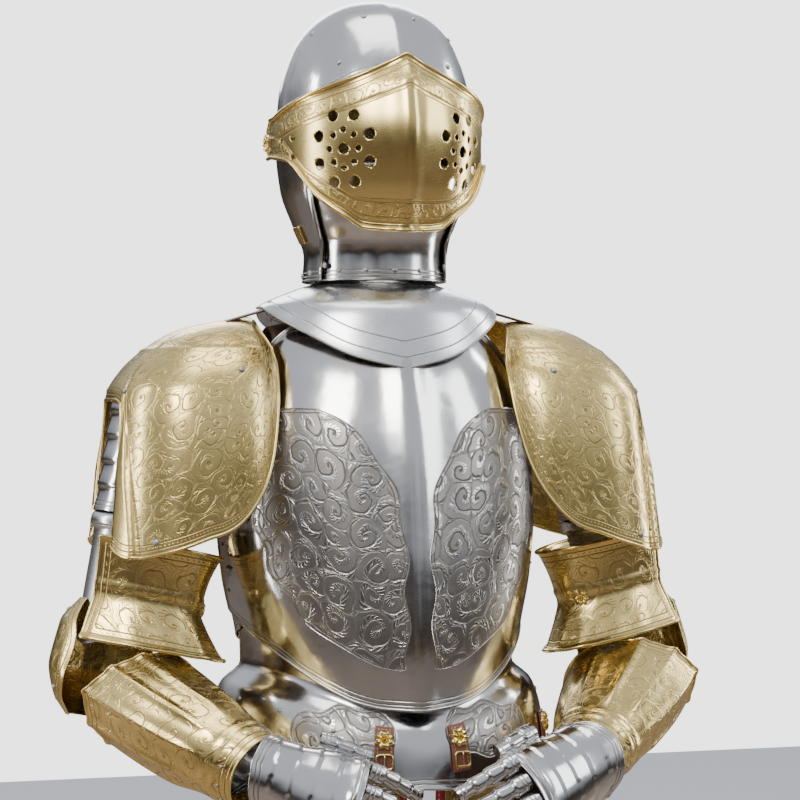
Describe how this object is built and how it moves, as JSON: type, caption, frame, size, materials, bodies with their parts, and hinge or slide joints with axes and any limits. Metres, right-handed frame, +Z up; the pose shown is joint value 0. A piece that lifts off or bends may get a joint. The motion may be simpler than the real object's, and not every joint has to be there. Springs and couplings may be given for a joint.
{
  "type": "suit of plate armour",
  "caption": "Full suit of steel and gilt plate armour with a close helmet, broad shoulders, cuirass, gauntlets and legs.",
  "frame": {"origin": "middle of the wearer's shoulders, 1.44 m above the soles, where the cuirass is carried", "axes": "+Z up, the suit faces -Y, its right arm is at -X"},
  "size_m": [0.725, 0.4416, 1.832],
  "materials": {
    "polished_steel": "polished steel plate",
    "satin_steel": "satin steel plate",
    "gilt_brass": "satin light gold plate",
    "brown_leather": "dark brown strap leather",
    "red_cloth": "red wool cloth"
  },
  "bodies": {
    "cuirass": {"helmet_skull": "polished_steel", "bevor": "polished_steel", "breastplate": "polished_steel", "backplate": "polished_steel", "fauld": "polished_steel", "culet": "polished_steel", "visor_pivot_right": "gilt_brass", "visor_pivot_left": "gilt_brass", "bevor_hook": "gilt_brass", "gorget_front": "satin_steel", "gorget_back": "satin_steel", "shoulder_strap_right": "brown_leather", "tasset_right": "gilt_brass", "tasset_edging_right": "red_cloth", "tasset_strap_inner_right": "brown_leather", "tasset_strap_outer_right": "brown_leather", "pauldron_right": "gilt_brass", "pauldron_strap_right": "brown_leather", "upper_arm_lames_right": "polished_steel", "rerebrace_right": "satin_steel", "couter_right": "gilt_brass", "couter_wing_right": "gilt_brass", "cuisse_right": "polished_steel", "poleyn_right": "gilt_brass", "shoulder_strap_left": "brown_leather", "tasset_left": "gilt_brass", "tasset_edging_left": "red_cloth", "tasset_strap_inner_left": "brown_leather", "tasset_strap_outer_left": "brown_leather", "pauldron_left": "gilt_brass", "pauldron_strap_left": "brown_leather", "upper_arm_lames_left": "polished_steel", "rerebrace_left": "satin_steel", "couter_left": "gilt_brass", "couter_wing_left": "gilt_brass", "cuisse_left": "polished_steel", "poleyn_left": "gilt_brass"},
    "visor": {"visor": "gilt_brass"},
    "forearm_right": {"vambrace_right": "polished_steel", "gauntlet_cuff_right": "gilt_brass", "gauntlet_hand_right": "polished_steel", "gauntlet_little_finger_right": "polished_steel", "gauntlet_ring_finger_right": "polished_steel", "gauntlet_middle_finger_right": "polished_steel", "gauntlet_index_finger_right": "polished_steel", "gauntlet_thumb_right": "polished_steel"},
    "shin_right": {"greave_right": "polished_steel", "sabaton_right": "polished_steel", "sole_right": "brown_leather"},
    "forearm_left": {"vambrace_left": "polished_steel", "gauntlet_cuff_left": "gilt_brass", "gauntlet_hand_left": "polished_steel", "gauntlet_little_finger_left": "polished_steel", "gauntlet_ring_finger_left": "polished_steel", "gauntlet_middle_finger_left": "polished_steel", "gauntlet_index_finger_left": "polished_steel", "gauntlet_thumb_left": "polished_steel"},
    "shin_left": {"greave_left": "polished_steel", "sabaton_left": "polished_steel", "sole_left": "brown_leather"}
  },
  "joints": [
    {"name": "visor_pivot", "type": "hinge", "parent": "cuirass", "child": "visor", "pos_m": [0, 0.025, 0.234], "axis": [-1, 0, 0], "range_deg": [0, 60]},
    {"name": "elbow_right", "type": "hinge", "parent": "cuirass", "child": "forearm_right", "pos_m": [-0.302, -0.02, -0.346], "axis": [0.7638, 0.6154, -0.1947], "range_deg": [0, 45]},
    {"name": "elbow_left", "type": "hinge", "parent": "cuirass", "child": "forearm_left", "pos_m": [0.302, -0.02, -0.346], "axis": [0.7638, -0.6154, 0.1947], "range_deg": [0, 45]},
    {"name": "knee_right", "type": "hinge", "parent": "cuirass", "child": "shin_right", "pos_m": [-0.1, -0.014, -0.94], "axis": [1, 0, 0], "range_deg": [0, 60]},
    {"name": "knee_left", "type": "hinge", "parent": "cuirass", "child": "shin_left", "pos_m": [0.1, -0.014, -0.94], "axis": [1, 0, 0], "range_deg": [0, 60]}
  ]
}
